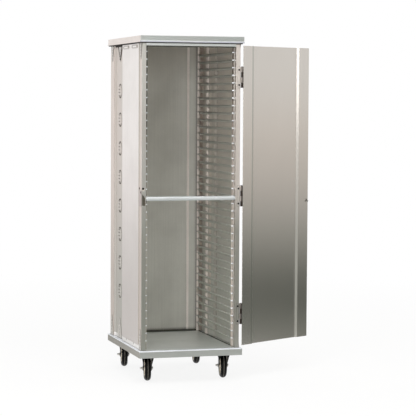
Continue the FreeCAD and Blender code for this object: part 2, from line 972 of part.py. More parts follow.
def origin_shift(nodes):
    # the frame's origin is at floor level, mid-way across everything as it stands with its door open
    bound = Part.makeCompound(list(nodes.values())).BoundBox
    return vec(-(bound.XMin + bound.XMax) / 2, -(bound.YMin + bound.YMax) / 2, -bound.ZMin)


nodes = all_nodes()
shift = origin_shift(nodes)
os.makedirs("parts", exist_ok=True)
for name, shape in nodes.items():
    shape.translated(shift).exportStep("parts/" + name + ".step")
print(len(nodes), "nodes; origin shift", round(shift.x, 4), round(shift.y, 4), round(shift.z, 4))
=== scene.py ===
import math

import bmesh
import bpy
from mathutils import Matrix, Vector


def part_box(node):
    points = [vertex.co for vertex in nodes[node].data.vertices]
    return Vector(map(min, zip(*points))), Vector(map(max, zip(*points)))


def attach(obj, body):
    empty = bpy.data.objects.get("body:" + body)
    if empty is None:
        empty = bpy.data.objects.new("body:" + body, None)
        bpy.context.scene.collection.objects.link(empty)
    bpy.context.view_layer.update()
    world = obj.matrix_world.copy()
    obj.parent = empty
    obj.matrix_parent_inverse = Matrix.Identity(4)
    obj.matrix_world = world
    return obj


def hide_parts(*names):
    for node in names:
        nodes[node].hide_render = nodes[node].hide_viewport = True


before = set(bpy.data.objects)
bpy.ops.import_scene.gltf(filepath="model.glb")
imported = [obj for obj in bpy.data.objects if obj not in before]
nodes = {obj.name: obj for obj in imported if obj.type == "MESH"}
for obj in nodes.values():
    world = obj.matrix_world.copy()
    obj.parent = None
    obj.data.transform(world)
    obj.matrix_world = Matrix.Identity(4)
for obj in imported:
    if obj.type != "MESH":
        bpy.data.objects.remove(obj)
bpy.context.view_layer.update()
mm = 0.001
places = ("front_left", "front_right", "rear_left", "rear_right")
middle = (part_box("lid")[0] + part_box("lid")[1]) / 2
print("frame loaded:", len(nodes), "pieces from the CAD")


# small helpers

def hexColour(code):
    # sRGB hex, as a paint chart gives it, to the linear colour that the shaders use
    parts = [int(code[start:start + 2], 16) / 255 for start in (1, 3, 5)]
    return [part / 12.92 if part <= 0.04045 else ((part + 0.055) / 1.055) ** 2.4 for part in parts] + [1.0]


def feed(tree, node, feeds):
    # each value is a node (its first output), a socket, a hex code or a number
    for key, source in feeds.items():
        if isinstance(source, bpy.types.Node):
            source = source.outputs[0]
        if isinstance(source, bpy.types.NodeSocket):
            tree.links.new(source, node.inputs[key])
        else:
            node.inputs[key].default_value = hexColour(source) if isinstance(source, str) else source


def addNode(tree, kind, settings=None, links=None):
    # one node with its settings and what feeds it; a number as key picks a socket by its place
    node = tree.nodes.new("ShaderNode" + kind)
    for key, value in (settings or {}).items():
        if isinstance(key, int) or (key in node.inputs.keys() and not hasattr(node, key)):
            node.inputs[key].default_value = value
        else:
            setattr(node, key, value)
    feed(tree, node, links or {})
    return node


def newMaterial(name, shaderSettings):
    # an empty Principled material: returns it with its tree and its shader
    material = bpy.data.materials.new(name)
    material.use_nodes = True
    tree = material.node_tree
    tree.nodes.clear()
    shader = addNode(tree, "BsdfPrincipled", shaderSettings)
    addNode(tree, "OutputMaterial", {}, {"Surface": shader})
    return material, tree, shader


# settings that many nodes share
colourMix = {"data_type": "RGBA"}
valueMix = {"data_type": "FLOAT"}
multiply = {"operation": "MULTIPLY"}
largest = {"operation": "MAXIMUM"}


def span(start, end, low=0.0, high=1.0):
    # Map Range settings: from low to high while its value runs from start to end
    return {"From Min": start, "From Max": end, "To Min": low, "To Max": high}


def pattern(tree, stretch, detail=3.0, roughness=0.5):
    # noise laid in the cart's own metres, one cycle for each stretch of (x, y, z) millimetres
    coords = addNode(tree, "TexCoord")
    laid = addNode(tree, "Mapping", {"Scale": [1 / (size * mm) for size in stretch]},
                   {"Vector": coords.outputs["Object"]})
    noise = {"Scale": 1.0, "Detail": detail, "Roughness": roughness}
    return addNode(tree, "TexNoise", noise, {"Vector": laid})


def oneAxis(tree, kind, axis):
    # one axis of where a point lies ("Object") or of where its face looks ("Normal")
    coords = addNode(tree, "TexCoord")
    return addNode(tree, "SeparateXYZ", {}, {0: coords.outputs[kind]}).outputs[axis]


def alongDirection(tree, kind, direction):
    # the same, measured along any direction
    coords = addNode(tree, "TexCoord")
    along = addNode(tree, "VectorMath", {"operation": "DOT_PRODUCT", 1: direction},
                    {0: coords.outputs[kind]})
    return along.outputs["Value"]


def distanceOut(tree):
    # metres from the middle of the floor
    coords = addNode(tree, "TexCoord")
    away = addNode(tree, "VectorMath", {"operation": "LENGTH"}, {0: coords.outputs["Object"]})
    return away.outputs["Value"]


# camera: the photograph's own angle, found from the lid, base and door edges

photoCamera = {
    "fromBaseCorner": (-2.0996, -8.3619, 1.2893),  # metres from the base frame's lowest front left corner
    "turnDegrees": 16.332,
    "tiltDegrees": 3.545,
    "rollDegrees": 0.311,
    "lens": 150.52,
}


def makeCamera(look):
    turn, tilt, roll = (math.radians(look[key]) for key in ("turnDegrees", "tiltDegrees", "rollDegrees"))
    forward = Vector((math.sin(turn) * math.cos(tilt), math.cos(turn) * math.cos(tilt), -math.sin(tilt)))
    level = Vector((math.cos(turn), -math.sin(turn), 0))
    upright = level.cross(forward)
    right = level * math.cos(roll) + upright * math.sin(roll)
    up = upright * math.cos(roll) - level * math.sin(roll)
    data = bpy.data.cameras.new("photoCamera")
    data.lens = look["lens"]
    data.sensor_width = 36.0
    data.clip_end = 200.0
    camera = bpy.data.objects.new("photoCamera", data)
    bpy.context.scene.collection.objects.link(camera)
    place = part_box("base_frame")[0] + Vector(look["fromBaseCorner"])
    axes = Matrix((right, up, -forward)).transposed()
    camera.matrix_world = Matrix.Translation(place) @ axes.to_4x4()
    bpy.context.scene.camera = camera


makeCamera(photoCamera)
bpy.context.scene.view_settings.view_transform = "Standard"
print("camera set")


# set: a plain pale floor, a pale room, three softboxes and a dim curtain for the sheen

studio = {
    "floorReach": 40.0,           # metres from the middle to the floor's edges
    "floorColour": "#e6e6e4",
    "floorFleck": "#f0f0ee",
    "floorWhite": 0.86,           # share of the backdrop's white in the floor, near the cart
    "floorFadeFrom": 1.6,         # metres from the cart where the floor begins to turn into backdrop
    "floorFadeTo": 5.0,
    "roomBright": "#ffffff",      # behind the cart
    "roomDim": "#bcb9b4",         # in front of the cart
    "brightTowards": (0.12, 0.98, 0.15),
    "brightFrom": -0.95,
    "brightTo": 0.45,
}

# softboxes: where they stand, where they point, width and height, and the light they give
lamps = {
    "keySoftbox": {"place": (-2.3, -3.3, 1.5), "aim": (0.0, 0.2, 0.9), "size": (1.1, 2.3), "watts": 40.0},
    "cameraSoftbox": {"place": (-0.14, -5.0, 1.8), "aim": (0.4, 0.0, 1.1), "size": (0.66, 2.1), "watts": 9.5},
    "topSoftbox": {"place": (-0.3, -2.2, 4.2), "aim": (0.0, 0.0, 0.3), "size": (2.6, 1.8), "watts": 70.0},
}

# curtains: pale at the top, darker at the foot, bent round the cart; only the sheen of the
# metal sees them, and they give the sheets their darker lower half
backShades = ((0.0, "#d3d3d1"), (0.15, "#dadad8"), (0.32, "#e6e5e4"), (0.5, "#f3f1f0"), (0.8, "#fcfbfb"),
              (1.0, "#ffffff"))
curtains = {
    "rightCurtain": {
        "radius": 4.4,
        "floorInner": 1.0,
        "height": 1.35,
        "fromDegrees": -118.0,
        "toDegrees": 22.0,
        "leftStops": ((0.0, "#8f928d"), (0.10, "#949792"), (0.36, "#999b97"), (0.69, "#bfbdba"),
                      (1.0, "#bcb9b4")),
        "rightStops": ((0.0, "#484d47"), (0.12, "#6b6f69"), (0.30, "#a3a59f"), (0.46, "#bdbcb8"),
                       (0.66, "#d5d0cb"), (1.0, "#ebe5df")),
        "nearFloor": "#8b8e88",
        "turnsFrom": 1.0,
        "turnsTo": 3.2,
    },
    "backCurtain": {
        "radius": 4.4,
        "floorInner": 1.0,
        "height": 1.3,
        "fromDegrees": 78.0,
        "toDegrees": 140.0,
        "leftStops": backShades,
        "rightStops": backShades,
        "nearFloor": "#d0d0cd",
        "turnsFrom": -2.0,
        "turnsTo": 0.0,
    },
}


def makeFloor(look):
    mesh = bpy.data.meshes.new("studioFloor")
    reach = look["floorReach"]
    corners = [(-reach, -reach, 0), (reach, -reach, 0), (reach, reach, 0), (-reach, reach, 0)]
    mesh.from_pydata(corners, [], [(0, 1, 2, 3)])
    floor = bpy.data.objects.new("studioFloor", mesh)
    bpy.context.scene.collection.objects.link(floor)
    material, tree, shader = newMaterial("paperMattFloor", {"Roughness": 0.9, "Specular IOR Level": 0.2})
    fibre = pattern(tree, (4, 4, 4), detail=2.0)
    tint = addNode(tree, "Mix", colourMix, {0: fibre, 6: look["floorColour"], 7: look["floorFleck"]})
    feed(tree, shader, {"Base Color": tint.outputs[2]})
    glow = addNode(tree, "Emission", {"Strength": 1.0}, {"Color": "#ffffff"})
    fade = addNode(tree, "MapRange", span(look["floorFadeFrom"], look["floorFadeTo"], look["floorWhite"]),
                   {"Value": distanceOut(tree)})
    path = addNode(tree, "LightPath")
    seen = path.outputs["Is Camera Ray"]
    for ray in ("Is Glossy Ray", "Is Transmission Ray"):
        seen = addNode(tree, "Math", largest, {0: seen, 1: path.outputs[ray]})
    share = addNode(tree, "Math", multiply, {0: seen, 1: fade})
    mixed = addNode(tree, "MixShader", {}, {0: share, 1: shader, 2: glow})
    output = [node for node in tree.nodes if node.type == "OUTPUT_MATERIAL"][0]
    feed(tree, output, {"Surface": mixed})
    mesh.materials.append(material)


def makeRoom(look):
    # pale room light: white behind the cart, a soft warm grey in front of it
    world = bpy.data.worlds.new("studioRoom")
    world.use_nodes = True
    tree = world.node_tree
    tree.nodes.clear()
    facing = alongDirection(tree, "Generated", Vector(look["brightTowards"]).normalized())
    softly = {"interpolation_type": "SMOOTHSTEP", **span(look["brightFrom"], look["brightTo"])}
    spread = addNode(tree, "MapRange", softly, {"Value": facing})
    path = addNode(tree, "LightPath")
    # the backdrop itself is white all round
    white = addNode(tree, "Math", largest, {0: spread, 1: path.outputs["Is Camera Ray"]})
    tint = addNode(tree, "Mix", colourMix, {0: white, 6: look["roomDim"], 7: look["roomBright"]})
    background = addNode(tree, "Background", {"Strength": 1.0}, {"Color": tint.outputs[2]})
    addNode(tree, "OutputWorld", {}, {"Surface": background})
    bpy.context.scene.world = world


def makeLamps(look):
    for name, one in look.items():
        data = bpy.data.lights.new(name, "AREA")
        data.shape = "RECTANGLE"
        data.size, data.size_y = one["size"]
        data.energy = one["watts"]
        lamp = bpy.data.objects.new(name, data)
        bpy.context.scene.collection.objects.link(lamp)
        place = Vector(one["place"])
        aim = Vector(one["aim"]) - place
        lamp.matrix_world = Matrix.Translation(place) @ aim.to_track_quat("-Z", "Y").to_matrix().to_4x4()
        lamp.visible_camera = False


def makeCurtain(name, look):
    # one bent strip: flat on the floor, then up on edge
    build = bmesh.new()
    lift = Vector((0, 0, 0.003))
    steps = 24
    rows = []
    for step in range(steps + 1):
        angle = math.radians(look["fromDegrees"] + (look["toDegrees"] - look["fromDegrees"]) * step / steps)
        spoke = Vector((math.cos(angle), math.sin(angle), 0))
        foot = spoke * look["radius"]
        rows.append([build.verts.new(spoke * look["floorInner"] + lift), build.verts.new(foot + lift),
                     build.verts.new(foot + Vector((0, 0, look["height"])))])
    for before, after in zip(rows, rows[1:]):
        for column in (0, 1):
            build.faces.new((before[column], after[column], after[column + 1], before[column + 1]))
    mesh = bpy.data.meshes.new(name)
    build.to_mesh(mesh)
    build.free()
    strip = bpy.data.objects.new(name, mesh)
    bpy.context.scene.collection.objects.link(strip)
    material = bpy.data.materials.new("clothMatt" + name[0].upper() + name[1:])
    material.use_nodes = True
    tree = material.node_tree
    tree.nodes.clear()
    height = addNode(tree, "MapRange", span(0.0, look["height"]), {"Value": oneAxis(tree, "Object", "Z")})
    turn = addNode(tree, "MapRange", span(look["turnsFrom"], look["turnsTo"]),
                   {"Value": oneAxis(tree, "Object", "X")})
    near = addNode(tree, "MapRange", span(look["floorInner"], look["radius"] * 0.8, 1.0, 0.0),
                   {"Value": distanceOut(tree)})
    shades = []
    for stops in (look["leftStops"], look["rightStops"]):
        ramp = addNode(tree, "ValToRGB", {}, {0: height})
        while len(ramp.color_ramp.elements) < len(stops):
            ramp.color_ramp.elements.new(0.5)
        for element, (spot, colour) in zip(ramp.color_ramp.elements, stops):
            element.position = spot
            element.color = hexColour(colour)
        shades.append(ramp)
    upright = addNode(tree, "Mix", colourMix, {0: turn, 6: shades[0], 7: shades[1]})
    tint = addNode(tree, "Mix", colourMix, {0: near, 6: upright.outputs[2], 7: look["nearFloor"]})
    glow = addNode(tree, "Emission", {"Strength": 1.0}, {"Color": tint.outputs[2]})
    addNode(tree, "OutputMaterial", {}, {"Surface": glow})
    mesh.materials.append(material)
    strip.visible_camera = False
    strip.visible_diffuse = False
    strip.visible_shadow = False


makeFloor(studio)
makeRoom(studio)
makeLamps(lamps)
for curtainName, curtainLook in curtains.items():
    makeCurtain(curtainName, curtainLook)
print("studio set")


# materials

# what rolled sheet looks like; each finish below changes only what differs
sheetMetal = {
    "roughness": 0.36,        # typical for mill-finish aluminium
    "roughnessSwing": 0.10,
    "metallic": 0.9,          # a thin grey oxide takes the rest
    "grainWidth": 3.0,        # real rolling lines are 0.1 mm; drawn at 3 mm so that they show
    "grainLength": 420.0,
    "cloudSize": 170.0,
    "speckSize": 4.0,
    "grainTint": 0.16,
    "cloudTint": 0.20,
    "cloudDulling": 0.3,      # how much rougher the cloudy places are
    "waveSize": 330.0,
    "waveHeight": 0.10,
    "grainHeight": 0.010,
    "anisotropy": 0.4,
    "edgeRadius": 2.0,        # folded and deburred edges, rounded in the sheen
    "shadeAndDustColour": "#5b564f",
    "dirtReach": 6.0,         # millimetres out from a corner or joint that the painted shade and dust reach
    "dirtShare": 0.75,
    "cleanPatches": False,    # True where the patches stay free of that painted shade and dust
}


def cornerShadeAndDust(tree, look, colour):
    # painted shade, with some dust: darker close to joints, corners and overlaps, as the occlusion test finds
    # them
    airy = addNode(tree, "AmbientOcclusion", {"samples": 8, "Distance": look["dirtReach"] * mm})
    shut = addNode(tree, "MapRange", span(0.45, 0.98, look["dirtShare"], 0.0), {"Value": airy.outputs["AO"]})
    toned = addNode(tree, "Mix", colourMix, {0: shut, 6: colour, 7: look["shadeAndDustColour"]})
    return toned.outputs[2]


def bandMask(tree, along, start, end, edge=3.0):
    # 1 between two distances along a direction of the cart, in millimetres
    way = alongDirection(tree, "Object", along)
    enter = addNode(tree, "MapRange", span((start - edge) * mm, (start + edge) * mm), {"Value": way})
    leave = addNode(tree, "MapRange", span((end - edge) * mm, (end + edge) * mm, 1.0, 0.0), {"Value": way})
    return addNode(tree, "Math", multiply, {0: enter, 1: leave})


def facingMask(tree, towards, low=0.6, high=0.9):
    # 1 on the faces that look towards a direction of the cart
    facing = alongDirection(tree, "Normal", towards)
    return addNode(tree, "MapRange", span(low, high), {"Value": facing})


def lowMask(tree, top, foot, within=None, settings=None):
    # 0 above one height and 1 below another, in millimetres, inside another mask if one is given
    fall = addNode(tree, "MapRange", span(top * mm, foot * mm), {"Value": oneAxis(tree, "Object", "Z")})
    if not within:
        return fall
    other = within(tree, **(settings or {}))
    return addNode(tree, "Math", multiply, {0: fall, 1: other})


def foldMask(tree):
    # 1 on the slanting faces of the back panel's vertical folds
    tilt = addNode(tree, "Math", {"operation": "ABSOLUTE"}, {0: oneAxis(tree, "Normal", "X")})
    return addNode(tree, "MapRange", span(0.15, 0.35), {"Value": tilt})


def insideMask(tree):
    # 1 on the faces that look into the compartment, 0 on those that look out at the room
    off = addNode(tree, "Math", {"operation": "SUBTRACT"}, {0: oneAxis(tree, "Object", "X"), 1: middle.x})
    both = addNode(tree, "Math", multiply, {0: off, 1: oneAxis(tree, "Normal", "X")})
    return addNode(tree, "MapRange", span(-0.10, -0.05, 1.0, 0.0), {"Value": both})


def stepMask(tree):
    # 1 on the inner step where the raised panel ends, which looks forward out of the compartment
    forward = addNode(tree, "MapRange", span(-0.8, -0.4, 1.0, 0.0), {"Value": oneAxis(tree, "Normal", "Y")})
    ahead = addNode(tree, "MapRange", span(0.10, 0.12, 1.0, 0.0), {"Value": oneAxis(tree, "Object", "Y")})
    return addNode(tree, "Math", multiply, {0: forward, 1: ahead})


def rolledSheet(name, colour, shade, grain="z", patches=(), **changes):
    # mill-finish sheet: colour where clean, shade in its grain lines and clouds;
    # each patch is a mask with its settings, then the colour, roughness and metal share it gives
    look = {**sheetMetal, **changes}
    material, tree, shader = newMaterial(name, {"Metallic": look["metallic"],
                                                "Anisotropic": look["anisotropy"]})
    stretch = [look["grainLength"] if axis == grain else look["grainWidth"] for axis in "xyz"]
    lines = pattern(tree, stretch, detail=4.0, roughness=0.6)
    clouds = pattern(tree, [look["cloudSize"]] * 3, detail=5.0, roughness=0.55)
    specks = pattern(tree, [look["speckSize"]] * 3, detail=2.0)
    waves = pattern(tree, [look["waveSize"]] * 3, detail=1.0)
    lineTint = addNode(tree, "MapRange", span(0.3, 0.7, 0.0, look["grainTint"]), {"Value": lines})
    cloudTint = addNode(tree, "MapRange", span(0.42, 0.72, 0.0, look["cloudTint"]), {"Value": clouds})
    speckTint = addNode(tree, "MapRange", span(0.3, 0.7, 0.0, look["grainTint"] * 0.6), {"Value": specks})
    worn = lineTint
    for more in (cloudTint, speckTint):
        worn = addNode(tree, "Math", {"operation": "ADD"}, {0: worn, 1: more})
    tint = addNode(tree, "Mix", colourMix, {0: worn, 6: colour, 7: shade}).outputs[2]
    swing = look["roughnessSwing"] / 2
    roughness = look["roughness"]
    lineRough = addNode(tree, "MapRange", span(0.3, 0.7, roughness - swing, roughness + swing),
                        {"Value": lines})
    rough = addNode(tree, "Math", {"operation": "MULTIPLY_ADD"},
                    {0: cloudTint, 1: look["cloudDulling"], 2: lineRough})
    metal = look["metallic"]
    if look["cleanPatches"]:
        tint = cornerShadeAndDust(tree, look, tint)
    for maker, settings, patchColour, patchRough, patchMetal in patches:
        share = maker(tree, **settings)
        grainy = addNode(tree, "Mix", colourMix, {0: worn, 6: patchColour, 7: shade}).outputs[2]
        tint = addNode(tree, "Mix", colourMix, {0: share, 6: tint, 7: grainy}).outputs[2]
        rough = addNode(tree, "Mix", valueMix, {0: share, 2: rough, 3: patchRough})
        metal = addNode(tree, "Mix", valueMix, {0: share, 2: metal, 3: patchMetal})
    if not look["cleanPatches"]:
        tint = cornerShadeAndDust(tree, look, tint)
    rounded = addNode(tree, "Bevel", {"samples": 4, "Radius": look["edgeRadius"] * mm})
    wavy = addNode(tree, "Bump", {"Strength": 1.0, "Distance": look["waveHeight"] * mm},
                   {"Height": waves, "Normal": rounded})
    grained = addNode(tree, "Bump", {"Strength": 1.0, "Distance": look["grainHeight"] * mm},
                      {"Height": lines, "Normal": wavy})
    tangent = addNode(tree, "Tangent", {"direction_type": "RADIAL", "axis": "Z" if grain == "z" else "X"})
    feed(tree, shader, {"Base Color": tint, "Roughness": rough, "Normal": grained, "Tangent": tangent})
    if patches:
        feed(tree, shader, {"Metallic": metal})
    return material


def platedSteel(name, colour, shade, roughness=0.28, dirtShare=0.7):
    # zinc-plated or stainless small steel parts: cloudy plating, painted shade and dust in the corners
    material, tree, shader = newMaterial(name, {"Metallic": 1.0})
    clouds = pattern(tree, (9, 9, 9), detail=5.0, roughness=0.6)
    scuffs = pattern(tree, (2, 2, 14), detail=3.0)
    tint = addNode(tree, "Mix", colourMix, {0: clouds, 6: colour, 7: shade}).outputs[2]
    tint = cornerShadeAndDust(tree, {"dirtReach": 4.0, "dirtShare": dirtShare, "shadeAndDustColour": "#3f3b37"}, tint)
    rough = addNode(tree, "MapRange", span(0.0, 1.0, roughness - 0.08, roughness + 0.14), {"Value": scuffs})
    bump = addNode(tree, "Bump", {"Strength": 0.6, "Distance": 0.02 * mm}, {"Height": scuffs})
    feed(tree, shader, {"Base Color": tint, "Roughness": rough, "Normal": bump})
    return material


def moulded(name, colour, shade, roughness, grit, gritHeight, specular=0.5, toned=None):
    # rubber, plastic or enamel: even colour, clouds of dust, a fine grit in the sheen;
    # toned is (height, height, colour): that colour, a painted tone, blends in from the first height down to
    # the second
    material, tree, shader = newMaterial(name, {"Specular IOR Level": specular})
    clouds = pattern(tree, (22, 22, 22), detail=4.0, roughness=0.6)
    grains = pattern(tree, (grit, grit, grit), detail=2.0)
    tint = addNode(tree, "Mix", colourMix, {0: clouds, 6: colour, 7: shade}).outputs[2]
    if toned:
        fall = lowMask(tree, toned[0], toned[1])
        tint = addNode(tree, "Mix", colourMix, {0: fall, 6: tint, 7: toned[2]}).outputs[2]
    rough = addNode(tree, "MapRange", span(0.0, 1.0, roughness - 0.1, roughness + 0.1), {"Value": clouds})
    bump = addNode(tree, "Bump", {"Strength": 0.7, "Distance": gritHeight * mm}, {"Height": grains})
    feed(tree, shader, {"Base Color": tint, "Roughness": rough, "Normal": bump})
    return material


# places on the sheets that look different from the rest of them: how the place is found,
# then its colour, roughness and share of bare metal
front = (0.0, -1.0, 0.0)
upward = (0.0, 0.0, 1.0)
doorRun = (0.8616, 0.5075, 0.0)     # the open door's own direction, from hinge to free edge
doorHinge = (0.0493, -0.3370)       # metres
doorRoot = (doorHinge[0] * doorRun[0] + doorHinge[1] * doorRun[1]) / mm
alongDepth = (0.0, 1.0, 0.0)
channelBand = {"along": alongDepth, "start": 73.0, "end": 269.0}
lidFrontBand = {"along": alongDepth, "start": -400.0, "end": -350.0, "edge": 0.5}
channelPatch = (bandMask, channelBand, "#d3cac3", 0.42, 0.8)
footPatch = (bandMask, {"along": upward, "start": 168.0, "end": 188.0, "edge": 1.0}, "#fbf9f7", 0.4, 0.6)
insidePatch = (insideMask, {}, "#e6dfd4", 0.62, 0.1)
# painted highlight: the back panel's slanting fold faces are near white and not metallic, a bright strip at
# each fold
foldHighlightPatch = (foldMask, {}, "#fff6ef", 0.5, 0.0)
# painted highlight: the ledges' front-facing ends are bluish white and not metallic, a bright tick at each
# end
ledgeEndHighlightPatch = (facingMask, {"towards": front}, "#f6faff", 0.5, 0.0)
stepPatch = (stepMask, {}, "#aea69b", 0.62, 0.1)
# painted shade: the posts' front faces are a darker, cooler grey than their sides
postFrontShadePatch = (facingMask, {"towards": front}, "#cfcfca", 0.34, 0.9)
# painted shade: the lower parts are darker and greener, fading out upwards
sideLowShadePatch = (lowMask, {"top": 1150.0, "foot": 430.0}, "#dfd8d5", 0.36, 0.85)
channelLowShadePatch = (
    lowMask, {"top": 1200.0, "foot": 430.0, "within": bandMask, "settings": channelBand},
    "#bfbdb6", 0.42, 0.8)
insideLowShadePatch = (lowMask, {"top": 1300.0, "foot": 500.0, "within": insideMask}, "#dcddd5", 0.62, 0.1)
postLowShadePatch = (
    lowMask, {"top": 1010.0, "foot": 720.0, "within": facingMask, "settings": {"towards": front}},
    "#b5b8b0", 0.36, 0.9)
hingePostLowShadePatch = (lowMask, {"top": 960.0, "foot": 760.0}, "#b9b8b1", 0.36, 0.9)
# painted shadow: the back sheet is darker and duller near its top, under the header
backTopShadePatch = (
    bandMask, {"along": upward, "start": 1620.0, "end": 1900.0, "edge": 110.0}, "#c9c6bd", 0.58, 0.5)
# painted sheen: the lid's front hem is a non-metallic bluish grey, standing for its blue-tinted sheen
lidHemSheenPatch = (
    lowMask, {"top": 1716.0, "foot": 1715.0, "within": bandMask, "settings": lidFrontBand},
    "#9ca1ab", 0.7, 0.0)
# painted light: the ledges turn lighter, greener and less metallic lower down
ledgeLowLightPatch = (lowMask, {"top": 1250.0, "foot": 500.0}, "#cfd1c7", 0.55, 0.2)
# painted light: the ledges' upward faces are lighter
ledgeTopLitPatch = (facingMask, {"towards": upward}, "#e2e3de", 0.5, 0.1)
backOutsidePatch = (facingMask, {"towards": alongDepth}, "#cbc9c4", 0.36, 0.9)
knucklePatch = (
    bandMask, {"along": (1.0, 0.0, 0.0), "start": middle.x / mm + 257.5, "end": middle.x / mm + 300.0,
               "edge": 0.5}, "#4c4541", 0.4, 0.9)
# painted shade: the lid's front faces are a darker, cooler grey than its top and sides
lidFrontShadePatch = (facingMask, {"towards": front, "low": 0.15, "high": 0.4}, "#bfc6c4", 0.40, 0.9)
# painted highlight: a bluish white band along the base's top rim
rimHighlightPatch = (bandMask, {"along": upward, "start": 164.0, "end": 180.0, "edge": 0.8}, "#f4f8ff", 0.5, 0.15)
# painted shade: the base's left-facing faces are darker
baseSideShadePatch = (facingMask, {"towards": (-1.0, 0.0, 0.0)}, "#a49f97", 0.42, 0.9)
# painted highlight: the door's bend facet is near white, a bright strip down the door
doorBendHighlightPatch = (
    facingMask, {"towards": (-0.199, -0.98, 0.0), "low": 0.95, "high": 0.98}, "#fffaf4", 0.24, 1.0)
# painted shade: a darker band along the door's crease
doorCreaseShadePatch = (
    bandMask, {"along": doorRun, "start": doorRoot + 68.0, "end": doorRoot + 76.0, "edge": 2.0},
    "#b9bcb3", 0.30, 1.0)

# sheets and angles are bare mill-finish aluminium: soft streaks along the rolling, wide pale clouds;
# pins, casters and strikes are zinc-plated steel: small cloudy patches and painted grey shade in the corners;
# buffers, tyres and wheel cores are moulded: one even colour with a dull fine grit
finishes = {
    "base_sheet": rolledSheet(
        "aluminiumSheetFoldedBase", "#c3c6c2", "#9b9e99", grain="x", roughness=0.40,
        patches=(baseSideShadePatch, rimHighlightPatch)),
    "deck_sheet": rolledSheet(
        "aluminiumSheetRolledDeck", "#dde0dd", "#b2b5b0", grain="x", roughness=0.33, metallic=0.55,
        roughnessSwing=0.05),
    "rail_sheet": rolledSheet("aluminiumSheetFoldedRail", "#c4c5c2", "#989a96", grain="x", roughness=0.45),
    "post_sheet": rolledSheet(
        "aluminiumSheetFoldedPost", "#ded3cb", "#b9aea6", roughness=0.34,
        patches=(postFrontShadePatch, postLowShadePatch)),
    "rear_post_sheet": rolledSheet(
        "aluminiumSheetFoldedRearPost", "#ded3cb", "#b9aea6", roughness=0.34,
        patches=(insidePatch, insideLowShadePatch), dirtShare=0.1),
    # painted light: the hinge post gets a lighter copy of the post's finish
    "bright_post_sheet": rolledSheet(
        "aluminiumSheetHingePostPaintedLighter", "#f4ece6", "#cfc8c1", roughness=0.32, patches=(hingePostLowShadePatch,)),
    "hinge_post_leaf": rolledSheet(
        "steelHingeLeafPaleAsHingePost", "#f4ece6", "#cfc8c1", roughness=0.36,
        patches=(hingePostLowShadePatch, knucklePatch)),
    "header_sheet": rolledSheet(
        "aluminiumSheetFoldedHeader", "#e6eae8", "#c2c7c4", grain="x", roughness=0.45, metallic=0.3,
        dirtShare=0.2),
    "bar_tube": rolledSheet(
        "aluminiumTubeDrawn", "#ccd0d1", "#b1b5b6", grain="x", roughness=0.55, metallic=0.45,
        grainHeight=0.002, edgeRadius=0.3),
    "side_sheet": rolledSheet(
        "aluminiumSheetRolledSide", "#f1ece9", "#c9c4c0", roughness=0.34,
        patches=(sideLowShadePatch, channelPatch, channelLowShadePatch, footPatch, insidePatch, insideLowShadePatch,
                 stepPatch),
        metallic=0.85, dirtShare=0.4),
    "back_sheet": rolledSheet(
        "aluminiumSheetRolledBack", "#dddcd5", "#b0afa8", roughness=0.58,
        patches=(backTopShadePatch, foldHighlightPatch, backOutsidePatch), metallic=0.5, dirtReach=20.0),
    "ledge_angle": rolledSheet(
        "aluminiumAngleExtruded", "#c6c5bd", "#9a9992", grain="y", roughness=0.5,
        patches=(ledgeLowLightPatch, ledgeTopLitPatch, ledgeEndHighlightPatch), metallic=0.3, edgeRadius=0.5, dirtShare=0.9,
        cleanPatches=True),
    "spacer_sheet": rolledSheet(
        "aluminiumSheetFoldedSpacer", "#fff6ef", "#d8cfc7", roughness=0.45, metallic=0.1),
    "buffer_rubber": moulded("rubberMouldedBuffer", "#cfc6bb", "#b3aaa0", 0.6, 2.0, 0.05),
    "lid_sheet": rolledSheet(
        "aluminiumSheetFoldedLid", "#ebe2dc", "#c1b9b3", grain="x", roughness=0.38,
        patches=(lidFrontShadePatch, lidHemSheenPatch), edgeRadius=0.7),
    "tab_sheet": rolledSheet("aluminiumSheetStampedTab", "#dcd8d2", "#b9b4ae", roughness=0.34),
    "strike_sheet": platedSteel("steelStampedStrike", "#d3c6c2", "#b9adaa", 0.36),
    "cup_steel": moulded("steelCupGreyCoated", "#837e72", "#979286", 0.5, 2.0, 0.03),
    "hinge_steel": platedSteel("steelHingeDarkZinc", "#4c4541", "#37312e", 0.42),
    "pin_steel": platedSteel("steelPinDarkZinc", "#4a4541", "#35302d", 0.36),
    "door_sheet": rolledSheet(
        "aluminiumSheetRolledDoor", "#dcd7d1", "#c6c1ba", roughness=0.25, metallic=1.0, grainTint=0.06,
        cloudTint=0.05, speckSize=9.0, grainHeight=0.001, waveHeight=0.05, roughnessSwing=0.02,
        patches=(doorBendHighlightPatch, doorCreaseShadePatch)),
    "latch_steel": platedSteel("steelLatchZinc", "#c3c2c0", "#9c9b99", 0.3),
    "lever_steel": platedSteel("steelLeverZinc", "#c9c7c3", "#a5a39f", 0.34),
    "pull_steel": platedSteel("steelPullZinc", "#c9c8c6", "#a3a2a0", 0.26),
    "zinc_steel": platedSteel("steelCasterZinc", "#b9bbbd", "#909294", 0.32),
    "fork_steel": moulded("steelForkBlackEnamel", "#050608", "#0b0c0f", 0.2, 2.5, 0.02, specular=0.28),
    "axle_steel": platedSteel("steelAxleZinc", "#f0eee9", "#cbc9c4", 0.42, dirtShare=0.25),
    "wheel_plastic": moulded("nylonMouldedWheelCore", "#f6eee0", "#d8cfc0", 0.45, 1.5, 0.04),
    "tyre": moulded("rubberMouldedTyre", "#020202", "#060606", 0.3, 1.2, 0.02, specular=0.1),
}

# pieces that don't share their slot's finish
pieceFinishes = {
    "hinge_leaves_frame": "hinge_post_leaf",      # the leaf on the post is as pale as the hinge post, which is painted lighter
    "front_post_right": "bright_post_sheet",
    "rear_post_left": "rear_post_sheet",          # their inner faces are as dull as the walls
    "rear_post_right": "rear_post_sheet",
}
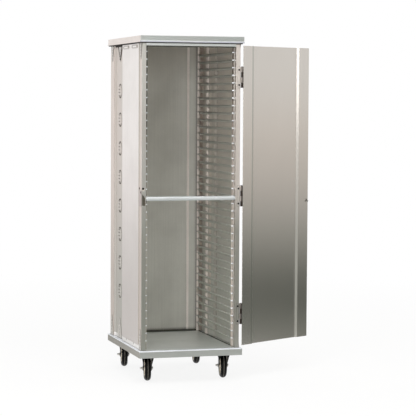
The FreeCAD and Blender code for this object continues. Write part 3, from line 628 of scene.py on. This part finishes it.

# finishes of the small pieces that are only here: screws, dark strips and edging, and the lines of painted
# shade, shadow and highlight
trim = {
    "rivet": platedSteel("aluminiumRivetPulled", "#dedcd8", "#b4b2ae", 0.34),
    # partly painted shade: the heads' flat black also stands for the dark holes they sit in
    "darkScrew": moulded("steelScrewBlackWithHoleShade", "#030303", "#070707", 0.6, 1.0, 0.02, specular=0.05),
    "gauze": moulded("steelGauzeWoven", "#f0e9de", "#dcd5ca", 0.6, 1.0, 0.05),
    # painted shadow: dark brown lines beside the tie tabs
    "tabShadow": moulded("paintedShadowBehindTabs", "#50463e", "#6a5f56", 0.8, 1.5, 0.03, specular=0.2),
    # painted shade: dark marks round the pressed bosses
    "bossShadow": moulded("paintedShadeRoundBosses", "#8b8179", "#a0968d", 0.8, 1.5, 0.03, specular=0.2),
    # painted highlight: the grey line round each tyre's tread
    "tyreHighlightLine": moulded("rubberTyrePaintedHighlightLine", "#5b5852", "#76726a", 0.7, 1.0, 0.02),
    # painted shadow gaps: dark edging and grey strips; the edging's paler foot is a painted tone
    "edging": moulded(
        "rubberEdgingPaintedShadowGap", "#1d1a15", "#2b2822", 0.7, 2.0, 0.05, specular=0.15,
        toned=(1400.0, 800.0, "#a5a298")),
    "sideEdging": moulded(
        "rubberEdgingPaintedShadowGapPaleFoot", "#453c36", "#564c45", 0.7, 2.0, 0.05, specular=0.2,
        toned=(1500.0, 650.0, "#bfb5ab")),
    "shadowGapGrey": moulded("rubberStripPaintedShadowGap", "#43443d", "#56574f", 0.7, 2.0, 0.05, specular=0.2),
    # painted shade round the vents
    "ventShadeLine": moulded("paintedShadeRoundVents", "#4b4640", "#6a645c", 0.8, 1.5, 0.03, specular=0.2),
    # painted shadow: the dark strip under the lid's edge and in the channels
    "seal": moulded("rubberStripPaintedLidShadow", "#26211e", "#38322e", 0.7, 2.0, 0.05, specular=0.2),
}


def dressNodes():
    for name, piece in nodes.items():
        for materialSlot in piece.material_slots:
            slotName = pieceFinishes.get(name, materialSlot.material.name.split(".")[0])
            materialSlot.material = finishes[slotName]


dressNodes()
print("materials made:", len(finishes) + len(trim))


def softenEdges(names, width):
    # the small radius that a press brake leaves along each fold and cut edge
    for name in names:
        bevel = nodes[name].modifiers.new("foldRadius", "BEVEL")
        bevel.width = width * mm
        bevel.segments = 2
        bevel.limit_method = "ANGLE"
        bevel.angle_limit = math.radians(25)


softenEdges(["base_frame", "lid", "header", "front_post_right", "rear_post_left", "rear_post_right",
             "back_panel", "door_panel", "caster_rail_front", "caster_rail_rear"], 0.5)
softenEdges(["ledges_left", "ledges_right"], 0.7)
print("edges softened")


# the cart's own directions: millimetres from its middle, as a drawing gives them

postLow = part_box("front_post_left")[0]
bodyFront = postLow.y / mm
bodySide = (middle.x - postLow.x) / mm
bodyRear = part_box("rear_post_left")[1].y / mm
channelOut = bodySide - 10.0       # the recessed channel's face
panelOut = bodySide + 3.0          # the raised panel's face
channelMiddle = 167.5
frontTab = bodyFront + 22.0        # middles of the tie tabs on the posts
rearTab = bodyRear - 35.0
tabThick = 1.5
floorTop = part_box("base_frame")[1].z / mm
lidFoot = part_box("lid")[0].z / mm

outLeft = Vector((-1, 0, 0))
outRight = Vector((1, 0, 0))
outFront = Vector((0, -1, 0))
outRear = Vector((0, 1, 0))
outDown = Vector((0, 0, -1))
sides = (("left", -1, outLeft), ("right", 1, outRight))


def onCart(x, y, z):
    return Vector((middle.x + x * mm, y * mm, z * mm))


def finishPiece(name, build, material, body, smooth=False):
    # one mesh piece from its bmesh, with its finish and the body that it rides on
    bmesh.ops.recalc_face_normals(build, faces=build.faces)
    mesh = bpy.data.meshes.new(name)
    build.to_mesh(mesh)
    build.free()
    for face in mesh.polygons:
        face.use_smooth = smooth
    mesh.materials.append(material)
    piece = bpy.data.objects.new(name, mesh)
    bpy.context.scene.collection.objects.link(piece)
    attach(piece, body)
    return piece


def turnedRings(build, place, outward, profile, steps):
    # rings of points for a turned shape, from (radius, height) pairs in millimetres
    axes = outward.to_track_quat("Z", "Y").to_matrix()
    rings = []
    for radius, height in profile:
        ring = []
        for step in range(steps):
            angle = 2 * math.pi * step / steps
            local = Vector((radius * math.cos(angle), radius * math.sin(angle), height)) * mm
            ring.append(build.verts.new(place + axes @ local))
        rings.append(ring)
    return rings


def joinRings(build, rings):
    # faces from each ring to the next
    for first, second in zip(rings, rings[1:]):
        for step in range(len(first)):
            after = (step + 1) % len(first)
            build.faces.new((first[step], first[after], second[after], second[step]))


def turnedHead(build, place, outward, profile, steps):
    # a round or six-sided head turned from its profile, standing on place
    rings = turnedRings(build, place, outward, profile, steps)
    joinRings(build, rings)
    build.faces.new(rings[-1])
    build.faces.new(rings[0][::-1])


def headGroup(name, spots, profile, material):
    # equal heads at several (place, outward) spots on the cabinet, as one piece
    build = bmesh.new()
    for place, outward in spots:
        turnedHead(build, place, outward, profile, 12)
    finishPiece(name, build, material, "cabinet", smooth=True)


def domeProfile(radius, height):
    # side line of a rivet head: a short rim, then a quarter arc
    line = [(radius, -0.5), (radius, height * 0.2)]
    for step in range(1, 4):
        angle = math.radians(28 * step)
        line.append((radius * math.cos(angle), height * (0.2 + 0.8 * math.sin(angle))))
    return line


def casterMiddles(place):
    # middles of a caster's top plate and of its tyre, and the level way from one to the other
    plate, tyre = ((low + high) / 2 for low, high in (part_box("caster_plate_" + place),
                                                      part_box("caster_tyre_" + place)))
    return plate, tyre, Vector((tyre.x - plate.x, tyre.y - plate.y, 0)).normalized()


roundTyre = {
    "radius": 63.5,
    "halfWidth": 16.0,
    "wall": 12.6,          # down from the tread's middle to the rim
    "sink": 0.15,          # under the CAD tyre's outline
    "crownDrop": 9.5,      # how far the tread falls at its edges
    "crownCurve": 2.6,     # 1 is a roof, more is flatter in the middle
    "crownSteps": 12,
    "lineHalf": 1.5,       # the grey line round the tread, a painted highlight
    "lineLow": 1.0,
    "lineTop": 0.05,
    "roundSteps": 72,
}


def makeTyres(look):
    # the CAD tyres with the crown that the moulding gives them, and a grey line round the tread's middle: a
    # painted highlight
    radius = look["radius"]
    half = look["halfWidth"]
    line = look["lineHalf"]
    tread = [(radius - look["wall"], -half)]
    for step in range(look["crownSteps"] + 1):
        along = -half + 2 * half * step / look["crownSteps"]
        fall = look["crownDrop"] * abs(along / half) ** look["crownCurve"]
        tread.append((radius - look["sink"] - fall, along))
    tread.append((radius - look["wall"], half))
    highlightBand = [(radius - look["lineLow"], -line), (radius - look["lineTop"], -line),
            (radius - look["lineTop"], line), (radius - look["lineLow"], line)]
    for place in places:
        plate, tyre, run = casterMiddles(place)
        axle = Vector((-run.y, run.x, 0))
        for name, profile, material in (("tyre_crowned_", tread, finishes["tyre"]),
                                        ("tyre_highlight_line_", highlightBand, trim["tyreHighlightLine"])):
            build = bmesh.new()
            rings = turnedRings(build, tyre, axle, profile, look["roundSteps"])
            joinRings(build, rings + rings[:1])
            smooth = profile is tread
            piece = finishPiece(name + place, build, material, "wheel_" + place, smooth)
            if smooth:
                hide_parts("caster_tyre_" + place)


sideRivets = {
    "radius": 5.2,
    "height": 2.6,
    "topTabSteps": (12.0, 26.0, 40.0, 54.0, 68.0),     # down from the lid's edge along each tab's middle
    "footTabSteps": (14.0, 30.0, 46.0, 62.0, 78.0),    # up from the base
    "stripDepths": (-9.0, -164.0),                     # along the strip at the raised panel's foot
    "stripHeight": 185.0,
    "stripSink": 2.0,
}


def makeSideRivets(look):
    heights = [lidFoot - drop for drop in look["topTabSteps"]]
    heights += [floorTop + rise for rise in look["footTabSteps"]]
    points = []
    for z in heights:
        points.append((channelOut + tabThick, channelMiddle, z))
        points.append((bodySide + tabThick, frontTab, z))
        points.append((bodySide + tabThick, rearTab, z))
    for depth in look["stripDepths"]:
        points.append((bodySide - look["stripSink"], depth, look["stripHeight"]))
    spots = []
    for x, y, z in points:
        spots.append((onCart(x, y, z), outRight))
        spots.append((onCart(-x, y, z), outLeft))
    headGroup("side_rivets", spots, domeProfile(look["radius"], look["height"]), trim["rivet"])


strikeScrews = {
    "postScrew": (-247.8, 980.5),              # across and up, in the post's face
    "sideScrew": (-291.5, 981.0),              # depth and up, in the post's side
    "plateScrew": (-321.0, 962.0),             # the same, on the strike plate
    "plateThick": 1.5,
    "profile": ((5.6, -0.5), (5.6, 0.6), (4.4, 1.1), (2.2, 1.1), (1.6, 0.2)),    # with its socket
}


def makeStrikeScrews(look):
    acrossPost, upPost = look["postScrew"]
    spots = [(onCart(acrossPost, bodyFront, upPost), outFront),
             (onCart(-bodySide, *look["sideScrew"]), outLeft),
             (onCart(-bodySide - look["plateThick"], *look["plateScrew"]), outLeft)]
    headGroup("strike_screws", spots, look["profile"], trim["darkScrew"])


# straight strips, in millimetres: across, depth and height; a pair is made on both sides
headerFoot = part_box("header")[0].z / mm
strips = {
    # dark rubber edging behind the ledges' front ends, and under the header: painted shadow gaps
    "ledge_edging_left": {"across": (-221.2, -232.8), "depth": (-304.6, -303.4), "height": (172.0, 1691.0),
                          "material": "edging"},
    "ledge_edging_right": {"across": (221.5, 227.0), "depth": (-304.6, -303.4), "height": (172.0, 1691.0),
                           "material": "sideEdging"},
    "header_edging": {"across": (-226.0, 228.0), "depth": (bodyFront + 3.0, bodyFront + 14.0),
                      "height": (headerFoot - 6.5, headerFoot + 0.2), "material": "shadowGapGrey"},
    # dark strips where the walls meet the deck: painted shadow gaps
    "floor_seal_rear": {"across": (-232.0, 232.0), "depth": (333.0, 337.5), "height": (170.6, 180.1),
                        "material": "shadowGapGrey"},
    "floor_seal": {"pair": (231.5, 236.0), "depth": (-300.0, 326.0), "height": (170.6, 172.8),
                   "material": "shadowGapGrey"},
    # fine gauze behind each row of vents
    "vent_gauze": {"pair": (243.0, 243.4), "depth": (128.0, 182.0), "height": (370.0, 1516.0),
                   "material": "gauze", "slot": "side_sheet"},
}
channelFillers = {
    # a dark strip in each channel under the lid: painted shadow of the lid's overhang
    "channel_shadow_strip": {"pair": (channelOut + 0.1, channelOut + 4.0), "depth": (75.0, 267.0),
                     "height": (lidFoot - 11.0, lidFoot + 4.0), "material": "seal"},
}


def makeStrips(look):
    for name, one in look.items():
        runs = {name: one["across"]} if "across" in one else {}
        if "pair" in one:
            for sideName, side, outward in sides:
                runs[name + "_" + sideName] = [side * x for x in one["pair"]]
        for pieceName, across in runs.items():
            plan = [(across[0], one["depth"][0]), (across[1], one["depth"][0]),
                    (across[1], one["depth"][1]), (across[0], one["depth"][1])]
            build = bmesh.new()
            verts = [build.verts.new(onCart(x, y, z)) for z in one["height"] for x, y in plan]
            for face in ((3, 2, 1, 0), (4, 5, 6, 7), (0, 1, 5, 4), (1, 2, 6, 5), (2, 3, 7, 6), (3, 0, 4, 7)):
                build.faces.new([verts[index] for index in face])
            finishPiece(pieceName, build, trim[one["material"]], "cabinet")


forkGussets = {
    "halfWidth": 11.0,
    # round one gusset: out from the swivel's middle, height, share of the half width
    "outline": ((20.5, 136.0, 1.0), (33.0, 136.0, 1.0), (31.0, 124.0, 0.9), (21.5, 84.0, 0.5),
                (20.5, 84.0, 0.5)),
}


def makeForkGussets(look):
    # pressed shoulders that spread the fork's legs out to its crown
    for place in places:
        plate, tyre, run = casterMiddles(place)
        across = Vector((-run.y, run.x, 0))
        build = bmesh.new()
        for side in (-1, 1):
            rings = []
            for end in (-1, 1):
                ring = []
                for out, z, narrow in look["outline"]:
                    spot = plate + across * side * out * mm + run * end * narrow * look["halfWidth"] * mm
                    ring.append(build.verts.new((spot.x, spot.y, z * mm)))
                rings.append(ring)
            joinRings(build, rings)
            build.faces.new(rings[0][::-1])
            build.faces.new(rings[1])
        finishPiece("fork_gussets_" + place, build, finishes["fork_steel"], "fork_" + place)


# rows that hold the back sheet to the rear posts
backRivets = {
    "radius": 3.2,
    "height": 2.0,
    "rows": 11,
    "firstUp": 45.0,       # above the floor
    "spacing": 148.0,
    "fromSide": 11.0,
    "sheetThick": 1.5,
}


def makeBackRivets(look):
    spots = []
    for side in (-1, 1):
        for row in range(look["rows"]):
            z = floorTop + look["firstUp"] + row * look["spacing"]
            place = onCart(side * (bodySide - look["fromSide"]), bodyRear + look["sheetThick"], z)
            spots.append((place, outRear))
    headGroup("back_rivets", spots, domeProfile(look["radius"], look["height"]), trim["rivet"])


def flatRibbon(build, points, width, outward, closed=False):
    # a flat strip along points, lying in the face whose outward direction is given
    ends = points + points[:1] if closed else points
    for start, end in zip(ends, ends[1:]):
        run = (end - start).normalized()
        across = run.cross(outward) * (width * mm / 2)
        reach = run * (width * mm * 0.35)
        corners = [start - reach - across, end + reach - across, end + reach + across, start - reach + across]
        build.faces.new([build.verts.new(corner) for corner in corners])


# painted shadow beside the tie tabs, in millimetres
tabShadowMarks = {
    "lift": 0.25,             # above the sheet
    "channelTab": 92.0,       # widths of the tabs that it follows
    "frontTab": 42.0,
    "rearTab": 60.0,
    "tip": 9.0,
    "channelLine": 15.0,      # widths of its lines
    "postLine": 9.0,
    "footLine": 3.0,
    "topStart": 2.0,          # above the lid's edge
    "topReach": 78.0,         # below it
    "footReach": 105.0,       # above the base
    "rimTab": 72.0,           # the second line, on the wide tab itself
    "rimLine": 11.0,
    "rimReach": 74.0,
}


def tabOutline(x, middleY, width, rootZ, tipZ, tip):
    shoulder = rootZ + (tipZ - rootZ) * 0.12
    return [onCart(x, middleY - width / 2, rootZ), onCart(x, middleY - width / 2, shoulder),
            onCart(x, middleY - tip / 2, tipZ), onCart(x, middleY + tip / 2, tipZ),
            onCart(x, middleY + width / 2, shoulder), onCart(x, middleY + width / 2, rootZ)]


def makeTabShadow(look):
    build = bmesh.new()
    start = lidFoot + look["topStart"]
    tip = look["tip"]
    for sideName, side, outward in sides:
        channelFace = side * (channelOut + look["lift"])
        postFace = side * (bodySide + look["lift"])
        tabs = [(channelFace, channelMiddle, look["channelTab"], look["channelLine"]),
                (postFace, frontTab, look["frontTab"], look["postLine"]),
                (postFace, rearTab, look["rearTab"], look["postLine"])]
        for x, y, width, line in tabs:
            top = tabOutline(x, y, width, start, lidFoot - look["topReach"], tip)
            flatRibbon(build, top, line, outward)
            foot = tabOutline(x, y, width, floorTop, floorTop + look["footReach"], tip)
            flatRibbon(build, foot, look["footLine"], outward)
        onTab = side * (channelOut + look["lift"] + tabThick)
        rim = tabOutline(onTab, channelMiddle, look["rimTab"], start, lidFoot - look["rimReach"], tip)
        flatRibbon(build, rim, look["rimLine"], outward)
    finishPiece("tab_shadow", build, trim["tabShadow"], "cabinet")


# painted shade round the two pressed bosses near the top of each raised panel
bossShadeMarks = {
    "lift": 2.3,             # on the boss's own face
    "panelStart": 47.5,      # the panel's front edge, behind the posts' faces
    "panelEnd": 73.0,        # where the channel begins
    "spread": 91.0,          # each boss from the panel's middle
    "drop": 19.0,            # below the lid's edge
    "endOut": 49.0,
    "endLow": -2.0,
    "endHigh": 3.0,
    "endLine": 11.0,
    "edgeHalf": 40.0,
    "edgeUp": 5.6,
    "edgeLine": 1.6,
}


def makeBossShade(look):
    build = bmesh.new()
    z = lidFoot - look["drop"]
    for sideName, side, outward in sides:
        x = side * (panelOut + look["lift"])
        for shift in (-1, 1):
            y = (bodyFront + look["panelStart"] + look["panelEnd"]) / 2 + shift * look["spread"]
            for end in (-1, 1):
                beside = y + end * look["endOut"]
                level = z + end * look["edgeUp"]
                rim = [onCart(x, beside, z + look["endLow"]), onCart(x, beside, z + look["endHigh"])]
                flatRibbon(build, rim, look["endLine"], outward)
                edge = [onCart(x, y - look["edgeHalf"], level), onCart(x, y + look["edgeHalf"], level)]
                flatRibbon(build, edge, look["edgeLine"], outward)
    finishPiece("boss_shade", build, trim["bossShadow"], "cabinet")


# painted shade in the ring round each vent, and a painted shadow blot at its top and foot
ventShadeMarks = {
    "rows": 8,
    "firstUp": 418.0,
    "spacing": 150.0,
    "lift": 0.25,
    "ringRadius": 35.5,
    "ringLine": 4.0,
    "ringSteps": 24,
    "blotLift": 2.6,
    "blotUp": 31.0,
    "blotHalf": 7.5,
    "blotLine": 7.0,
}


def makeVentShade(look):
    build = bmesh.new()
    for sideName, side, outward in sides:
        face = side * (channelOut + look["lift"])
        blotFace = side * (channelOut + look["blotLift"])
        for row in range(look["rows"]):
            z = look["firstUp"] + row * look["spacing"]
            ring = []
            for step in range(look["ringSteps"]):
                angle = 2 * math.pi * step / look["ringSteps"]
                ring.append(onCart(face, channelMiddle + look["ringRadius"] * math.cos(angle),
                                   z + look["ringRadius"] * math.sin(angle)))
            flatRibbon(build, ring, look["ringLine"], outward, closed=True)
            for end in (-1, 1):
                level = z + end * look["blotUp"]
                blot = [onCart(blotFace, channelMiddle - look["blotHalf"], level),
                        onCart(blotFace, channelMiddle + look["blotHalf"], level)]
                flatRibbon(build, blot, look["blotLine"], outward)
    finishPiece("vent_shade", build, trim["ventShadeLine"], "cabinet")


# dark strip tucked under the lid's edge, round the whole body: painted shadow of the lid's edge
lidShadowStrip = {
    "proud": 1.2,               # out from the raised panels and the posts
    "rearProud": 11.4,
    # round its section: how far out, and how far above the lid's edge
    "section": ((6.0, -3.4), (5.2, -4.2), (0.0, -4.2), (0.0, 5.0), (6.0, 5.0)),
    "rearShare": 0.3,           # thinner at the back, where the skirt is close
}


def makeLidShadowStrip(look):
    build = bmesh.new()
    wide = panelOut + look["proud"]
    nose = bodyFront - look["proud"]
    tail = bodyRear + look["rearProud"]
    rings = []
    for spread, up in look["section"]:
        ring = []
        for x, y in ((-wide, nose), (wide, nose), (wide, tail), (-wide, tail)):
            deeper = spread * look["rearShare"] if y > 0 else -spread
            ring.append(build.verts.new(onCart(x + math.copysign(spread, x), y + deeper, lidFoot + up)))
        rings.append(ring)
    joinRings(build, rings + rings[:1])
    finishPiece("lid_shadow_strip", build, trim["seal"], "cabinet")


hingeScrews = {
    "spread": 38.0,      # above and below each hinge's middle
    "fromPin": 14.0,
    "leafHalf": 52.5,
    "pinHead": 2.7,
    "leafThick": 2.0,
    "radius": 4.8,
    "height": 0.4,       # countersunk, so that the closed door clears them
}


def makeHingeScrews(look):
    pinLow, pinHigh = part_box("hinge_pins")
    hingeX = ((pinLow.x + pinHigh.x) / 2 - middle.x) / mm
    lowest = pinLow.z / mm + look["leafHalf"]
    highest = pinHigh.z / mm - look["pinHead"] - look["leafHalf"]
    x = hingeX - look["fromPin"]
    y = bodyFront - look["leafThick"]
    spots = []
    for step in range(3):
        level = lowest + step * (highest - lowest) / 2
        for shift in (-1, 1):
            spots.append((onCart(x, y, level + shift * look["spread"]), outFront))
    radius = look["radius"]
    height = look["height"]
    profile = [(radius, -0.5), (radius, 0.2), (radius * 0.7, height), (radius * 0.35, height),
               (radius * 0.25, height * 0.4)]
    headGroup("hinge_screws", spots, profile, trim["darkScrew"])


# hex heads and washers under each caster's top plate
casterBolts = {
    "plateThick": 5.0,
    "across": 29.0,
    "along": 42.0,
    "washer": ((8.0, -0.2), (8.0, 1.2), (7.2, 1.4)),
    "washerSteps": 18,
    "hexHead": ((7.0, 1.0), (7.0, 5.6), (6.2, 6.4)),
}


def makeCasterBolts(look):
    build = bmesh.new()
    for place in places:
        low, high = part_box("caster_plate_" + place)
        centre = (low + high) / 2
        under = high.z - look["plateThick"] * mm
        for x in (-look["across"], look["across"]):
            for y in (-look["along"], look["along"]):
                spot = Vector((centre.x + x * mm, centre.y + y * mm, under))
                turnedHead(build, spot, outDown, look["washer"], look["washerSteps"])
                turnedHead(build, spot, outDown, look["hexHead"], 6)
    finishPiece("caster_bolts", build, finishes["axle_steel"], "cabinet")


makeTyres(roundTyre)
makeSideRivets(sideRivets)
makeStrikeScrews(strikeScrews)
makeStrips(strips)
makeForkGussets(forkGussets)
makeBackRivets(backRivets)
makeTabShadow(tabShadowMarks)
makeBossShade(bossShadeMarks)
makeVentShade(ventShadeMarks)
makeLidShadowStrip(lidShadowStrip)
makeStrips(channelFillers)
makeHingeScrews(hingeScrews)
makeCasterBolts(casterBolts)
print("small pieces added")
